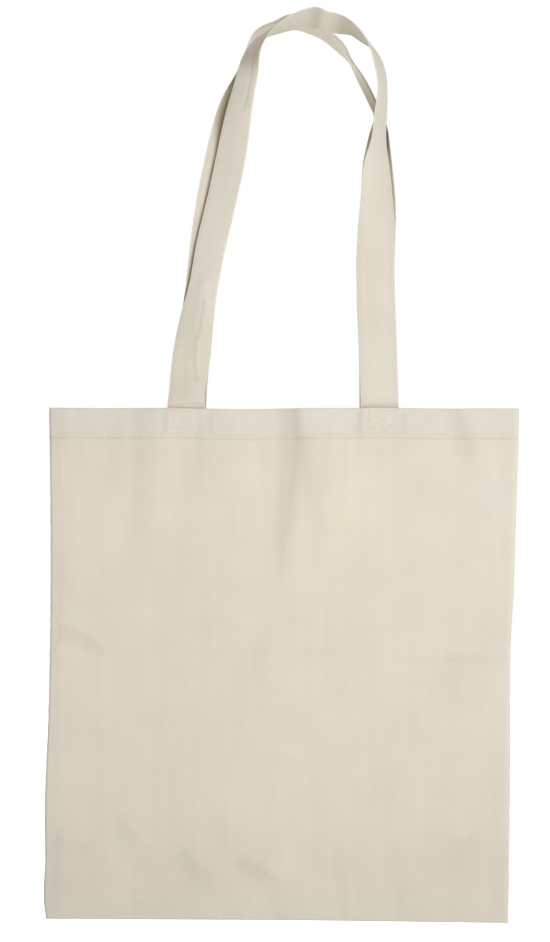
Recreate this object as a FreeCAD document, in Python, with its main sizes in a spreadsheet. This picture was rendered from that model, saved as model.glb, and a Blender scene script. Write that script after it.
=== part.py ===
import FreeCAD, Part
import math
import os
import Sketcher
from FreeCAD import Placement, Rotation, Vector

# A canvas tote bag hung by its two long handles. Millimetres, +Z up, the front of the bag faces -Y.
# The origin is the point that it hangs from, just under the crown of the two handles.

SIZES = {
    "bag_width": (380, "across the flat bag, side seam to side seam"),
    "bag_height": (415, "mouth to bottom seam"),
    "bag_middle": (-14, "X of the bag's middle: it hangs a little to one side of its hook"),
    "mouth_drop": (310, "hook down to the mouth"),
    "cloth": (0.6, "one layer of canvas"),
    "edge_gap": (1.2, "half the space between the panels at the side seams"),
    "mouth_bulge": (15, "how far each panel stands out at the mouth"),
    "foot_bulge": (1, "how far each panel stands out at the bottom seam"),
    "hem_depth": (23.5, "height of the turned-in hem"),
    "hem_layers": (1.0, "thickness of the turned-in layers"),
    "slack": (0.05, "air between layers that lie on each other"),
    "strap_width": (31, "width of a handle"),
    "strap_thick": (1.8, "a handle is four layers of thinner cloth"),
    "strap_spacing": (157, "middle to middle of a handle's two ends"),
    "strap_tuck": (19, "length of strap sewn under the hem"),
    "seam_inset": (1.5, "seam allowances begin this far inside the bag's edge"),
    "seam_allowance": (9.5, "width of the cloth turned inside at a seam"),
    "seam_back": (0.85, "back face of a seam allowance, behind the bag's middle plane"),
    "overlock_depth": (3, "how far the overlock wraps in from a raw edge"),
    "thread": (0.5, "width of a row of stitching"),
    "thread_rise": (0.25, "how far a row of stitching stands off the cloth"),
    "hem_stitch_rise": (2.5, "hem stitching above the hem's lower edge"),
    "box_stitch_width": (22, "width of the box sewn through a strap end"),
    "box_stitch_height": (15, "height of that box"),
    "edge_stitch_inset": (2.5, "a handle's edge stitching in from its edge"),
    "label_width": (30, "care label, out from the right seam"),
    "label_height": (24, "care label, up and down"),
    "label_drop": (58, "mouth down to the top of the label"),
    "label_thick": (0.15, "woven label"),
    "label_front": (0.88, "front face of the label, before the bag's middle plane"),
}

# Where the two handles run, from the left end over the hook to the right end: X, Z and the roll in degrees.
# At roll 0 the strap faces the front, at 90 it lies flat over the hook, beyond 90 its underside shows.
FRONT_ROUTE = [
    (-92.5, -308.5, 4), (-92, -299, 15), (-89.5, -276, 8), (-86.5, -253.5, 14), (-83, -231, 28),
    (-78.5, -208, 38), (-74.5, -185.5, 38), (-69.5, -163, 37), (-64, -140, 38), (-59, -117.5, 38),
    (-54.8, -95, 40), (-51, -72.5, 45), (-46, -49.5, 53), (-43.5, -38.5, 55), (-41.5, -28, 60),
    (-38, -18, 67), (-33.5, -11, 72), (-26.5, -4.5, 80), (-19, 0, 87), (-10.5, 3.5, 97),
    (0.5, 6.5, 105), (11, 7.5, 112), (23.5, 4.5, 111), (34, 1.5, 108), (42.5, -2, 98),
    (49.5, -8, 93), (55.5, -14, 85), (60, -20, 79), (63, -27, 75), (66, -38.5, 74),
    (67, -49.5, 75), (66.5, -61, 73), (65, -77, 70), (64, -95, 64), (63, -106, 52),
    (62.5, -117.5, 42), (62.5, -140, 29), (62, -163, 12), (61, -190.5, 4), (62, -231, 4),
    (63.5, -276, 4), (64.5, -308.5, 4),
]
BACK_ROUTE = [
    (-92.5, -308.5, 4), (-90, -275, 14), (-84, -229, 36), (-79, -183, 40), (-72.5, -137, 42),
    (-68.5, -114, 45), (-64.5, -91, 50), (-60, -68, 58), (-53, -45, 73), (-48, -32.5, 78),
    (-44, -21, 80), (-40.5, -12.5, 80), (-35.5, -3, 79), (-28, 2.5, 80), (-19.5, 5.5, 79),
    (-12, 8.5, 76), (-2.5, 10, 75), (8, 7, 75), (18.5, 2, 78), (27, -5, 81),
    (36.5, -14.5, 85), (41.5, -22, 92), (45.5, -29, 90), (51, -38.5, 86), (56, -48, 85),
    (60.5, -57.5, 85), (64, -65.5, 83), (65, -78, 68), (64.5, -91, 56), (64, -102.5, 46),
    (64, -114, 38), (64.5, -137, 25), (63.5, -160, 13), (62, -206, 5), (63.5, -252, 5),
    (64.5, -308.5, 4),
]
BASE_Y = 11.45  # a strap's middle plane at its sewn ends, before or behind the bag's middle plane
CROWN_Y = 17.2  # and over the hook, where the two handles lie side by side
LEAN = 5.0  # how much each handle leans towards the other along its left leg
STRAP_SECTIONS = 84  # cross-sections that a handle is lofted through

FRONT, BACK = -1, 1  # the sign of Y on each side of the bag
SIDES = {"front": FRONT, "back": BACK}
ENDS = {"left": -1, "right": 1}

MOUTH_RADIUS = "((Sizes.bag_width / 2)^2 + Sizes.mouth_bulge^2) / (2 * Sizes.mouth_bulge)"
FOOT_RADIUS = "((Sizes.bag_width / 2)^2 + Sizes.foot_bulge^2) / (2 * Sizes.foot_bulge)"
FOOT_Z = "-Sizes.mouth_drop - Sizes.bag_height"
HEM_Z = "-Sizes.mouth_drop - Sizes.hem_depth"

doc = FreeCAD.newDocument("tote_bag")
sheet = doc.addObject("Spreadsheet::Sheet", "Sizes")
for row, (alias, (value, note)) in enumerate(SIZES.items(), start=1):
    sheet.set(f"A{row}", str(value))
    sheet.setAlias(f"A{row}", alias)
    sheet.set(f"B{row}", note)
doc.recompute()

pieces = {}  # node name to the object that makes it


def size(alias):
    """The value of one cell, for the shapes that are made in code."""
    return float(sheet.get(alias))


def keep(obj, node):
    """Names the object after its node and lists it for export."""
    obj.Label = node
    pieces[node] = obj
    return obj


def place(obj, x="0", y="0", z="0"):
    """Binds the object's position to the sheet."""
    for axis, expression in (("x", x), ("y", y), ("z", z)):
        obj.setExpression(f"Placement.Base.{axis}", expression)


def floor_plane(body):
    """The body's own level base plane."""
    return next(f for f in body.Origin.OriginFeatures if f.Role == "XY_Plane")


def sketch_on(body, name, height=None):
    """An empty sketch on the body's level plane, raised by an expression if one is given."""
    sketch = body.newObject("Sketcher::SketchObject", name)
    sketch.AttachmentSupport = (floor_plane(body), [""])
    sketch.MapMode = "FlatFace"
    if height:
        sketch.setExpression("AttachmentOffset.Base.z", height)
    return sketch


def bind(sketch, constraint, expression):
    """Ties a sketch dimension to the sheet."""
    sketch.setExpression(f"Constraints[{constraint}]", expression)


def draw_band(sketch, side, bulge, offset, thickness, inset):
    """A thin band seen from above, concentric with a panel's inner face, which bulges towards the side.
    offset is the band's inner face outside the panel's inner face, and inset shortens both its ends."""
    half = size("bag_width") / 2
    rise = size(bulge)
    radius = (half**2 + rise**2) / (2 * rise)
    centre = Vector(0, -side * (radius - rise - size("edge_gap")), 0)
    up = Vector(0, 0, 1)
    arcs = []
    for r in (radius, radius + 1):
        reach = math.asin(half / r)
        middle = side * math.pi / 2
        arcs.append(Part.ArcOfCircle(Part.Circle(centre, up, r), middle - reach, middle + reach))
    first = sketch.addGeometry(arcs, False)[0]
    inner, outer = first, first + 1
    left, right = (1, 2) if side == FRONT else (2, 1)
    for point in (left, right):
        tips = [arc.StartPoint if point == 1 else arc.EndPoint for arc in arcs]
        line = sketch.addGeometry(Part.LineSegment(*tips), False)
        sketch.addConstraint(Sketcher.Constraint("Coincident", line, 1, inner, point))
        sketch.addConstraint(Sketcher.Constraint("Coincident", line, 2, outer, point))
        sketch.addConstraint(Sketcher.Constraint("Vertical", line))
    sketch.addConstraint(Sketcher.Constraint("Coincident", inner, 3, outer, 3))
    sketch.addConstraint(Sketcher.Constraint("PointOnObject", inner, 3, -2))
    sketch.addConstraint(Sketcher.Constraint("Horizontal", inner, left, inner, right))
    width = sketch.addConstraint(Sketcher.Constraint("DistanceX", inner, left, inner, right, 2 * half))
    ends = ((-1, 1), (inner, 3)) if side == FRONT else ((inner, 3), (-1, 1))
    depth = sketch.addConstraint(Sketcher.Constraint("DistanceY", *ends[0], *ends[1], abs(centre.y)))
    near = sketch.addConstraint(Sketcher.Constraint("Radius", inner, radius))
    far = sketch.addConstraint(Sketcher.Constraint("Radius", outer, radius + 1))
    face = MOUTH_RADIUS if bulge == "mouth_bulge" else FOOT_RADIUS
    bind(sketch, width, f"Sizes.bag_width - 2 * ({inset})")
    bind(sketch, depth, f"{face} - Sizes.{bulge} - Sizes.edge_gap")
    bind(sketch, near, f"{face} + ({offset})")
    bind(sketch, far, f"{face} + ({offset}) + ({thickness})")


def panel(node, side):
    """One side of the bag: almost flat at the bottom seam, standing open in a shallow arc at the hem."""
    body = doc.addObject("PartDesign::Body", node)
    sections = []
    levels = (
        ("foot", "foot_bulge", None),
        ("hem_line", "mouth_bulge", "Sizes.bag_height - Sizes.hem_depth"),
        ("mouth", "mouth_bulge", "Sizes.bag_height"),
    )
    for name, bulge, height in levels:
        sketch = sketch_on(body, f"{node}_{name}", height=height)
        draw_band(sketch, side, bulge, "0", "Sizes.cloth", "0")
        sections.append(sketch)
    doc.recompute()
    loft = body.newObject("PartDesign::AdditiveLoft", f"{node}_loft")
    loft.Profile = sections[0]
    loft.Sections = sections[1:]
    loft.Ruled = True
    body.Tip = loft
    place(body, x="Sizes.bag_middle", z=FOOT_Z)
    return keep(body, node)


def mouth_band(node, side, offset, thickness, height, z, inset="0"):
    """A straight-sided band along the mouth: the hem's turned-in layers, or a row of its stitching."""
    body = doc.addObject("PartDesign::Body", node)
    sketch = sketch_on(body, f"{node}_outline")
    draw_band(sketch, side, "mouth_bulge", offset, thickness, inset)
    pad = body.newObject("PartDesign::Pad", f"{node}_pad")
    pad.Profile = sketch
    pad.setExpression("Length", height)
    body.Tip = pad
    place(body, x="Sizes.bag_middle", z=z)
    return keep(body, node)


def block(name, length, width, height, x, y, z):
    """A box from its lowest corner, every size and place an expression."""
    box = doc.addObject("Part::Box", name)
    box.setExpression("Length", length)
    box.setExpression("Width", width)
    box.setExpression("Height", height)
    place(box, x, y, z)
    return box


def hem_spot(obj, side, end, depth, z):
    """Places the object on the hem's arc at a strap's middle, turned to lie along it.
    depth is how far inside the panel's inner face the object's own origin goes."""
    reach = f"({MOUTH_RADIUS} - ({depth}))"
    turn = f"asin(Sizes.strap_spacing / 2 / ({MOUTH_RADIUS}))"
    centre = f"({MOUTH_RADIUS} - Sizes.mouth_bulge - Sizes.edge_gap)"
    obj.Placement = Placement(Vector(), Rotation(Vector(0, 0, 1), 1))
    place(
        obj,
        x=f"Sizes.bag_middle + ({end}) * {reach} * sin({turn})",
        y=f"({side}) * ({reach} * cos({turn}) - {centre})",
        z=z,
    )
    obj.setExpression("Placement.Rotation.Angle", f"{-side * end} * {turn}")


def strap_end(node, side, end):
    """The end of a handle, sewn flat to the inside of the hem."""
    body = doc.addObject("PartDesign::Body", node)
    sketch = sketch_on(body, f"{node}_outline")
    w, t = size("strap_width") / 2, size("strap_thick") / 2
    corners = [Vector(-w, -t, 0), Vector(w, -t, 0), Vector(w, t, 0), Vector(-w, t, 0)]
    for i in range(4):
        sketch.addGeometry(Part.LineSegment(corners[i], corners[(i + 1) % 4]), False)
    for i in range(4):
        sketch.addConstraint(Sketcher.Constraint("Coincident", i, 2, (i + 1) % 4, 1))
        sketch.addConstraint(Sketcher.Constraint("Vertical" if i % 2 else "Horizontal", i))
    sketch.addConstraint(Sketcher.Constraint("Symmetric", 0, 1, 1, 2, -1, 1))
    wide = sketch.addConstraint(Sketcher.Constraint("DistanceX", 0, 1, 0, 2, 2 * w))
    deep = sketch.addConstraint(Sketcher.Constraint("DistanceY", 1, 1, 1, 2, 2 * t))
    bind(sketch, wide, "Sizes.strap_width")
    bind(sketch, deep, "Sizes.strap_thick")
    pad = body.newObject("PartDesign::Pad", f"{node}_pad")
    pad.Profile = sketch
    pad.setExpression("Length", "Sizes.strap_tuck")
    body.Tip = pad
    depth = "Sizes.hem_layers + 3 * Sizes.slack + Sizes.strap_thick / 2"
    hem_spot(body, side, end, depth, "-Sizes.mouth_drop - Sizes.strap_tuck")
    return keep(body, node)


def box_stitch(node, side, end):
    """The box with a cross sewn through hem and strap, once on the outside and once on the inside."""
    outside = "Sizes.cloth + 2 * Sizes.slack"
    inside = "-Sizes.hem_layers - Sizes.strap_thick - 5 * Sizes.slack - Sizes.thread_rise"
    wide, high, row, rise = (
        "Sizes.box_stitch_width",
        "Sizes.box_stitch_height",
        "Sizes.thread",
        "Sizes.thread_rise",
    )
    faces = []
    for face, out in (("outside", outside), ("inside", inside)):
        y = out if side == BACK else f"-({out}) - {rise}"
        bars = [
            block(f"{node}_{face}_foot", wide, rise, row, f"-{wide} / 2", y, "0"),
            block(f"{node}_{face}_head", wide, rise, row, f"-{wide} / 2", y, f"{high} - {row}"),
            block(f"{node}_{face}_left", row, rise, high, f"-{wide} / 2", y, "0"),
            block(f"{node}_{face}_right", row, rise, high, f"{wide} / 2 - {row}", y, "0"),
        ]
        for lean in (-1, 1):
            slope = f"atan(({high} - {row}) / ({wide} - {row}))"
            run = f"sqrt(({high} - {row})^2 + ({wide} - {row})^2)"
            bar = block(
                f"{node}_{face}_cross_{'down' if lean > 0 else 'up'}",
                run,
                rise,
                row,
                f"-cos({slope}) * {run} / 2",
                y,
                f"{high} / 2 - {row} / 2 + {lean} * sin({slope}) * {run} / 2",
            )
            bar.Placement.Rotation = Rotation(Vector(0, lean, 0), 1)
            bar.setExpression("Placement.Rotation.Angle", slope)
            bars.append(bar)
        fuse = doc.addObject("Part::MultiFuse", f"{node}_{face}")
        fuse.Shapes = bars
        faces.append(fuse)
    group = doc.addObject("Part::Compound", node)
    group.Links = faces
    middle = "-Sizes.mouth_drop - (Sizes.strap_tuck + Sizes.box_stitch_height) / 2"
    hem_spot(group, side, end, "0", middle)
    return keep(group, node)


def seam(name, length, height, x, z, raw_edge):
    """The cloth turned in at one seam, the thread that sews it and the overlock round its raw edge.
    raw_edge is the side that the raw edge is on: left, right or top."""
    thick = "2 * Sizes.cloth"
    y = f"Sizes.seam_back - {thick}"
    keep(block(f"{name}_seam_allowance", length, thick, height, x, y, z), f"{name}_seam_allowance")
    gap, wrap, deep = "Sizes.slack", "Sizes.thread_rise", "Sizes.overlock_depth"
    core = block(f"{name}_overlock_core", length, f"{thick} + 2 * {gap}", height, x, f"{y} - {gap}", z)
    if raw_edge == "top":
        shell_size = (length, f"{thick} + 2 * {gap} + 2 * {wrap}", f"{deep} + {wrap}")
        shell_at = (x, f"{y} - {gap} - {wrap}", f"{z} + {height} - {deep}")
        core.setExpression("Height", f"{height} + {gap}")
    else:
        shell_size = (f"{deep} + {wrap}", f"{thick} + 2 * {gap} + 2 * {wrap}", height)
        start = f"{x} + {length} - {deep}" if raw_edge == "right" else f"{x} - {wrap}"
        shell_at = (start, f"{y} - {gap} - {wrap}", z)
        core.setExpression("Length", f"{length} + {gap}")
        if raw_edge == "left":
            core.setExpression("Placement.Base.x", f"{x} - {gap}")
    shell = block(f"{name}_overlock_shell", *shell_size, *shell_at)
    wrapped = doc.addObject("Part::Cut", f"{name}_seam_overlock")
    wrapped.Base = shell
    wrapped.Tool = core
    keep(wrapped, f"{name}_seam_overlock")


def seam_thread(name, length, height, x, z):
    """The row of stitching that holds the two panels together, inside the bag's edge."""
    row = block(f"{name}_seam_thread", length, "Sizes.thread", height, x, "-Sizes.thread / 2", z)
    return keep(row, f"{name}_seam_thread")


def ramp(low, high, value):
    """0 below low, 1 above high and an even curve between."""
    share = max(0.0, min(1.0, (value - low) / (high - low)))
    return share * share * (3 - 2 * share)


class Route:
    """A handle's middle line with its roll, as a smooth curve through the route's points."""

    def __init__(self, points, side):
        self.side = side
        through = [Vector(x, side * self.stand_off(x, z), z) for x, z, _ in points]
        self.line = Part.BSplineCurve()
        self.line.interpolate(through)
        knots = [self.line.parameter(p) for p in through]
        rolls = [Vector(roll, knot, 0) for (_, _, roll), knot in zip(points, knots)]
        self.roll = Part.BSplineCurve()
        self.roll.interpolate(Points=rolls, Parameters=knots)

    @staticmethod
    def stand_off(x, z):
        """How far the strap's middle is before or behind the bag's middle plane."""
        drop = size("mouth_drop")
        up = max(0.0, min(1.0, (z + drop) / drop))
        lean = LEAN * ramp(-235, -130, z) * (1 - ramp(-72, -36, z)) if x < 0 else 0.0
        return BASE_Y + (CROWN_Y - BASE_Y) * up - lean

    def section(self, share, across, out, width, thick):
        """A rectangle across the strap, as a closed wire. across and out place its middle on the strap."""
        u = self.line.FirstParameter + share * (self.line.LastParameter - self.line.FirstParameter)
        middle = self.line.value(u)
        along = self.line.tangent(u)[0]
        inward = Vector(along.z, 0, -along.x)
        inward.normalize()
        roll = math.radians(self.roll.value(u).x)
        wide = inward * math.cos(roll) + Vector(0, self.side * math.sin(roll), 0)
        wide -= along * wide.dot(along)
        wide.normalize()
        face = wide.cross(along) * -self.side
        corners = [
            middle + wide * (across + a * width / 2) + face * (out + b * thick / 2)
            for a, b in ((-1, -1), (1, -1), (1, 1), (-1, 1))
        ]
        return Part.makePolygon(corners + corners[:1])

    def strip(self, across, out, width, thick):
        """A solid that follows the whole route."""
        wires = [
            self.section(i / (STRAP_SECTIONS - 1), across, out, width, thick)
            for i in range(STRAP_SECTIONS)
        ]
        return Part.makeLoft(wires, True, True)


def handle(name, points, side):
    """The free part of one handle and the two rows of stitching along its edges, on both faces."""
    route = Route(points, side)
    wide, thick = size("strap_width"), size("strap_thick")
    strap = doc.addObject("Part::Feature", f"{name}_handle_strap")
    strap.Shape = route.strip(0, 0, wide, thick)
    strap.Placement = Placement()
    keep(strap, f"{name}_handle_strap")
    rise = size("thread_rise")
    in_from_middle = wide / 2 - size("edge_stitch_inset")
    above = thick / 2 + size("slack") + rise / 2
    rows = [
        route.strip(across, out, size("thread"), rise)
        for across in (-in_from_middle, in_from_middle)
        for out in (-above, above)
    ]
    stitches = doc.addObject("Part::Feature", f"{name}_handle_edge_stitches")
    stitches.Shape = Part.makeCompound(rows)
    stitches.Placement = Placement()
    keep(stitches, f"{name}_handle_edge_stitches")
    print(f"{name} handle: free length {route.line.length():.1f} mm")


for side_name, side in SIDES.items():
    panel(f"{side_name}_panel", side)
    mouth_band(
        f"{side_name}_hem_fold",
        side,
        "-Sizes.slack - Sizes.hem_layers",
        "Sizes.hem_layers",
        "Sizes.hem_depth",
        HEM_Z,
        "2 * Sizes.seam_inset",
    )
    stitch_z = f"{HEM_Z} + Sizes.hem_stitch_rise"
    rows = {
        "top": "Sizes.cloth + Sizes.slack",
        "bobbin": "-2 * Sizes.slack - Sizes.hem_layers - Sizes.thread_rise",
    }
    for row, offset in rows.items():
        mouth_band(
            f"{side_name}_hem_{row}_thread",
            side,
            offset,
            "Sizes.thread_rise",
            "Sizes.thread",
            stitch_z,
            "3 * Sizes.seam_inset",
        )
    for end_name, end in ENDS.items():
        strap_end(f"{side_name}_{end_name}_strap_end", side, end)
        box_stitch(f"{side_name}_{end_name}_box_stitch", side, end)

half_width = "Sizes.bag_width / 2"
side_height = "Sizes.bag_height - Sizes.hem_depth - Sizes.seam_inset - Sizes.slack"
seam_foot = f"{FOOT_Z} + Sizes.seam_inset"
left_x = f"Sizes.bag_middle - {half_width}"
right_x = f"Sizes.bag_middle + {half_width}"
allowance = "Sizes.seam_allowance"
seam("left", allowance, side_height, f"{left_x} + Sizes.seam_inset", seam_foot, "right")
seam("right", allowance, side_height, f"{right_x} - Sizes.seam_inset - {allowance}", seam_foot, "left")
between = f"{allowance} + Sizes.seam_inset + Sizes.thread_rise + 4 * Sizes.slack"
foot_length = f"Sizes.bag_width - 2 * ({between})"
seam("bottom", foot_length, allowance, f"{left_x} + {between}", seam_foot, "top")

row_in = "(Sizes.seam_inset - Sizes.thread) / 2"
seam_thread("left", "Sizes.thread", side_height, f"{left_x} + {row_in}", seam_foot)
seam_thread("right", "Sizes.thread", side_height, f"{right_x} - {row_in} - Sizes.thread", seam_foot)
seam_thread("bottom", foot_length, "Sizes.thread", f"{left_x} + {between}", f"{FOOT_Z} + {row_in}")

keep(
    block(
        "care_label",
        "Sizes.label_width",
        "Sizes.label_thick",
        "Sizes.label_height",
        f"{right_x} - Sizes.seam_inset - Sizes.label_width",
        "-Sizes.label_front",
        "-Sizes.mouth_drop - Sizes.label_drop - Sizes.label_height",
    ),
    "care_label",
)

handle("front", FRONT_ROUTE, FRONT)
handle("back", BACK_ROUTE, BACK)

doc.recompute()
for obj in doc.Objects:
    if "Invalid" in obj.State or "Error" in obj.State:
        raise SystemExit(f"{obj.Label} did not build: {obj.State}")
for node, obj in pieces.items():
    if obj.Shape.isNull() or not obj.Shape.isValid() or not obj.Shape.Solids:
        raise SystemExit(f"{node} is not a valid solid")

os.makedirs("parts", exist_ok=True)
for node, obj in pieces.items():
    obj.Shape.exportStep(f"parts/{node}.step")
print(f"{len(pieces)} nodes written")
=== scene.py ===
import math

import bpy
import numpy as np
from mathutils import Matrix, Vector, noise


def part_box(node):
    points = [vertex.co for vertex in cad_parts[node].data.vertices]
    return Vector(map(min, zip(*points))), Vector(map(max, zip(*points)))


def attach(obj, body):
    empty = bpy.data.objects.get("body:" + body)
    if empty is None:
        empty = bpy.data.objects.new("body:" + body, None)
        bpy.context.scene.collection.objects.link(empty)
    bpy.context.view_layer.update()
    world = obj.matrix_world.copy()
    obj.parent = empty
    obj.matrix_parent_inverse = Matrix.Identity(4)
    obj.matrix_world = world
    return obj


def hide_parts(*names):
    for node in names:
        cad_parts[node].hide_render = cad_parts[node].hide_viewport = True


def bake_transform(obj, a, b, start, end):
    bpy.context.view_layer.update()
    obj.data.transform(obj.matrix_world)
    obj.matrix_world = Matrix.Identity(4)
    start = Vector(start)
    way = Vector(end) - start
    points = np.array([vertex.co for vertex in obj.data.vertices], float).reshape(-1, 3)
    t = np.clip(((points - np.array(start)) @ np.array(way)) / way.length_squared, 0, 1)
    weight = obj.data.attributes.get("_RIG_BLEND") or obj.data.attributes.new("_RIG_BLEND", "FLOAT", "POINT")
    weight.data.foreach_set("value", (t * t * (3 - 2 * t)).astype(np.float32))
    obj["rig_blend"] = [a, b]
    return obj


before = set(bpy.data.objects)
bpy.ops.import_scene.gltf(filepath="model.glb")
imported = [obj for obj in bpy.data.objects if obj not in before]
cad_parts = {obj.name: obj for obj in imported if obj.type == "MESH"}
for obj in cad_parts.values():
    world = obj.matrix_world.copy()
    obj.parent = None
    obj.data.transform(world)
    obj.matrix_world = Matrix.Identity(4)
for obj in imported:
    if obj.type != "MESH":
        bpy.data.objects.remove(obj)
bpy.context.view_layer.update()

# A canvas tote bag hung by its handles. Sizes below are in millimetres in the part's own frame, as in
# the design: +Z up, the front faces -Y, and the origin is the point that the bag hangs from.
MM = 0.001


def cad(node):
    """Lowest and highest corner of a CAD node, in millimetres."""
    return [np.array(corner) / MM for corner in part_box(node)]


# Sizes that come from the frame
PANEL_LOW, PANEL_HIGH = cad("front_panel")
HEM_LOW = cad("front_hem_fold")[0]
LEFT, RIGHT = PANEL_LOW[0], PANEL_HIGH[0]
MIDDLE, HALF = (LEFT + RIGHT) / 2, (RIGHT - LEFT) / 2
FOOT, MOUTH = PANEL_LOW[2], PANEL_HIGH[2]
HEM_LINE = HEM_LOW[2]
HEIGHT = MOUTH - FOOT
STITCH_Z = float(np.mean([c[2] for c in cad("front_hem_top_thread")]))
ENDS = {e: [float(v) for v in np.mean(cad(f"front_{e}_strap_end"), axis=0)] for e in ("left", "right")}
TUCK = MOUTH - cad("front_left_strap_end")[0][2]
BOX_LOW, BOX_HIGH = cad("front_left_box_stitch")

# Sizes of the cloth and sewing
CLOTH = 0.5           # one layer of canvas
EDGE_GAP = 1.45       # a panel's middle surface from the bag's middle plane, along the seams
SEAM_GAP = 0.3        # and right at the sewn edge, where the two panels meet
MOUTH_BULGE = 15.0    # how far a panel stands out at the mouth, and at the foot
FOOT_BULGE = 1.0
HEM_STACK = 1.05      # outer layer of the hem to its turned-in layer
ALLOWANCE = 11.0      # seam allowance inside a seam
STRAP_WIDTH = 31.0
STRAP_THICK = 1.7
STRAP_BASE_Y = 11.45  # a strap's middle at its sewn end, before or behind the bag's middle plane
STRAP_CROWN_Y = 17.2  # and over the hook
STRAP_LEAN = 5.0      # how much each strap leans towards the other along its left leg
EDGE_ROW = 1 - 2.5 / (STRAP_WIDTH / 2)  # where the edge stitching runs, as a share of the half width
SEWN_ROLL = 3.7       # a strap's roll in degrees at its sewn ends
HANDLE_BEND = 26.0    # length of strap above the mouth that bends as a handle swings
LABEL_THICK = 0.12

# Stitch length, and the thread's radius as it lies in the cloth
STITCH, THREAD = 3.0, 0.28
BOX_STITCH = 2.6
SEAM_STITCH, SEAM_THREAD = 2.8, 0.22
EDGE_STITCH, EDGE_THREAD = 3.2, 0.18
OVERLOCK_PITCH, OVERLOCK_THREAD = 2.2, 0.17

FRONT, BACK = -1, 1

# The handles' routes from the left end over the hook to the right end: X, Z and the roll in degrees
FRONT_ROUTE = [
    (-92, -299, 15), (-89.5, -276, 8), (-86.5, -253.5, 14), (-83, -231, 28), (-78.5, -208, 38),
    (-74.5, -185.5, 38), (-69.5, -163, 37), (-64, -140, 38), (-59, -117.5, 38), (-54.8, -95, 40),
    (-51, -72.5, 45), (-46, -49.5, 53), (-43.5, -38.5, 55), (-41.5, -28, 60), (-38, -18, 67),
    (-33.5, -11, 72), (-26.5, -4.5, 80), (-19, 0, 87), (-10.5, 3.5, 97), (0.5, 6.5, 105),
    (11, 7.5, 112), (23.5, 4.5, 111), (34, 1.5, 108), (42.5, -2, 98), (49.5, -8, 93), (55.5, -14, 85),
    (60, -20, 79), (63, -27, 75), (66, -38.5, 74), (67, -49.5, 75), (66.5, -61, 73), (65, -77, 70),
    (64, -95, 64), (63, -106, 52), (62.5, -117.5, 42), (62.5, -140, 29), (62, -163, 12),
    (61, -190.5, 4), (62, -231, 4), (63.5, -276, 4),
]
BACK_ROUTE = [
    (-90, -275, 14), (-84, -229, 36), (-79, -183, 40), (-72.5, -137, 42), (-68.5, -114, 45),
    (-64.5, -91, 50), (-60, -68, 58), (-53, -45, 73), (-48, -32.5, 78), (-44, -21, 80),
    (-40.5, -12.5, 80), (-35.5, -3, 79), (-28, 2.5, 80), (-19.5, 5.5, 79), (-12, 8.5, 76),
    (-2.5, 10, 75), (8, 7, 75), (18.5, 2, 78), (27, -5, 81), (36.5, -14.5, 85), (41.5, -22, 92),
    (45.5, -29, 90), (51, -38.5, 86), (56, -48, 85), (60.5, -57.5, 85), (64, -65.5, 83), (65, -78, 68),
    (64.5, -91, 56), (64, -102.5, 46), (64, -114, 38), (64.5, -137, 25), (63.5, -160, 13),
    (62, -206, 5), (63.5, -252, 5),
]


class Spline:
    """A smooth natural cubic curve through values given at rising knots."""

    def __init__(self, knots, values):
        self.x = np.asarray(knots, float)
        self.y = np.asarray(values, float)
        step = np.diff(self.x)
        slope = (np.diff(self.y, axis=0).T / step).T
        n = len(self.x)
        system = np.eye(n)
        right = np.zeros_like(self.y)
        for i in range(1, n - 1):
            system[i, i - 1 : i + 2] = step[i - 1], 2 * (step[i - 1] + step[i]), step[i]
            right[i] = 6 * (slope[i] - slope[i - 1])
        self.bend = np.linalg.solve(system, right)

    def __call__(self, at):
        at = np.clip(np.asarray(at, float), self.x[0], self.x[-1])
        i = np.clip(np.searchsorted(self.x, at) - 1, 0, len(self.x) - 2)
        width = self.x[i + 1] - self.x[i]
        a, b = (self.x[i + 1] - at) / width, (at - self.x[i]) / width
        if self.y.ndim > 1:
            a, b, width = a[..., None], b[..., None], width[..., None]
        curve = ((a**3 - a) * self.bend[i] + (b**3 - b) * self.bend[i + 1]) * width**2 / 6
        return a * self.y[i] + b * self.y[i + 1] + curve


def smooth(low, high, value):
    """0 below low, 1 above high and an even curve between."""
    share = np.clip((np.asarray(value, float) - low) / (high - low), 0, 1)
    return share * share * (3 - 2 * share)


def unit(vectors):
    """The same directions, each of length 1."""
    return vectors / np.linalg.norm(vectors, axis=-1, keepdims=True)


def pairs(across, up):
    """Places on the cloth from two arrays that fit each other."""
    return np.stack(np.broadcast_arrays(across, up), axis=-1)


def hump(value, width):
    """1 at 0, falling away over the width on both sides."""
    return np.exp(-((np.asarray(value, float) / width) ** 2))


def rough(x, z, scale, seed):
    """Even noise between about -1 and 1 at points of the cloth; scale is the size of its features."""
    x, z = np.broadcast_arrays(np.asarray(x, float), np.asarray(z, float))
    flat = [
        noise.fractal(Vector((a / scale, seed * 7.3, b / scale)), 1.0, 2.0, 2)
        for a, b in zip(x.ravel(), z.ravel())
    ]
    return np.array(flat).reshape(x.shape)


def along(points, x, z):
    """Distance from each point of the cloth to a line of points, and the share of the line before it."""
    best = np.full(np.shape(x), np.inf)
    share = np.zeros(np.shape(x))
    spans = [math.dist(a, b) for a, b in zip(points, points[1:])]
    gone = 0.0
    for (ax, az), (bx, bz), span in zip(points, points[1:], spans):
        dx, dz = (bx - ax) / span, (bz - az) / span
        run = np.clip((x - ax) * dx + (z - az) * dz, 0, span)
        away = np.hypot(x - ax - run * dx, z - az - run * dz)
        near = away < best
        best = np.where(near, away, best)
        share = np.where(near, (gone + run) / sum(spans), share)
        gone += span
    return best, share


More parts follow.
